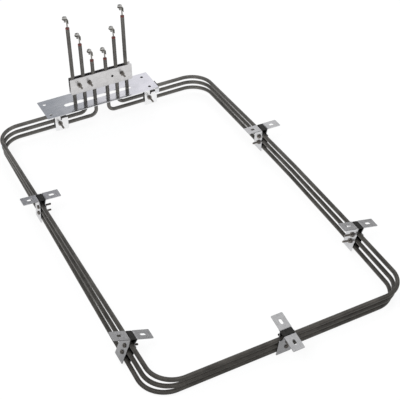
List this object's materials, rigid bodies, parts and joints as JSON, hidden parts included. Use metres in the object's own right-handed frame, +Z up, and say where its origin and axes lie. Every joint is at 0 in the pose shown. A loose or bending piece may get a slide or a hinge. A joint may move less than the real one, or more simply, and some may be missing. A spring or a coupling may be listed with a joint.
{
  "type": "tubular heating element",
  "caption": "Tubular heating element: nested rectangular sheathed loops on a slotted mounting plate, with clamped legs, screw terminals and bolted two-part brackets.",
  "frame": {"origin": "centre of the mounting plate's four holes, on its top face", "axes": "+Z up along the legs to the terminals, -Y from the plate over the loops, +X to the right"},
  "size_m": [0.5646, 0.854, 0.2641],
  "materials": {
    "sheath": "dark oxidised satin",
    "seal": "potted, matt",
    "pin": "drawn",
    "strap": "nickel plated",
    "ceramic": "packed ceramic",
    "terminal_screw": "nickel plated",
    "galvanised": "smooth galvanised",
    "dark_spring": "blackened",
    "clamp_steel": "satin plated",
    "screw_steel": "zinc plated, dulled",
    "clip_steel": "bright plated",
    "bracket_steel": "aluminised"
  },
  "bodies": {
    "root": {"heating_loop_upper": "sheath", "heating_loop_middle": "sheath", "heating_loop_lower": "sheath", "end_seal_1": "seal", "terminal_pin_1": "pin", "terminal_strap_1": "strap", "end_seal_2": "seal", "terminal_pin_2": "pin", "terminal_strap_2": "strap", "end_seal_3": "seal", "terminal_pin_3": "pin", "terminal_strap_3": "strap", "end_seal_4": "seal", "terminal_pin_4": "pin", "terminal_strap_4": "strap", "end_seal_5": "seal", "terminal_pin_5": "pin", "terminal_strap_5": "strap", "end_seal_6": "seal", "terminal_pin_6": "pin", "terminal_strap_6": "strap", "insulation_plugs": "ceramic", "terminal_screws": "terminal_screw", "mounting_plate": "galvanised", "edge_spring": "dark_spring", "clamp_bar_front": "clamp_steel", "clamp_bar_back": "clamp_steel", "clamp_screws": "screw_steel", "clamp_nuts": "screw_steel", "rear_clip_left_front": "clip_steel", "rear_clip_left_back": "clip_steel", "rear_clip_right_front": "clip_steel", "rear_clip_right_back": "clip_steel", "clip_screws": "screw_steel", "clip_nuts": "screw_steel", "bracket_left_rear_inner": "bracket_steel", "bracket_left_rear_outer": "bracket_steel", "bracket_left_front_inner": "bracket_steel", "bracket_left_front_outer": "bracket_steel", "bracket_right_rear_inner": "bracket_steel", "bracket_right_rear_outer": "bracket_steel", "bracket_right_front_inner": "bracket_steel", "bracket_right_front_outer": "bracket_steel", "bracket_front_inner": "bracket_steel", "bracket_front_outer": "bracket_steel", "bracket_screws": "screw_steel", "bracket_nuts": "screw_steel"}
  },
  "joints": []
}
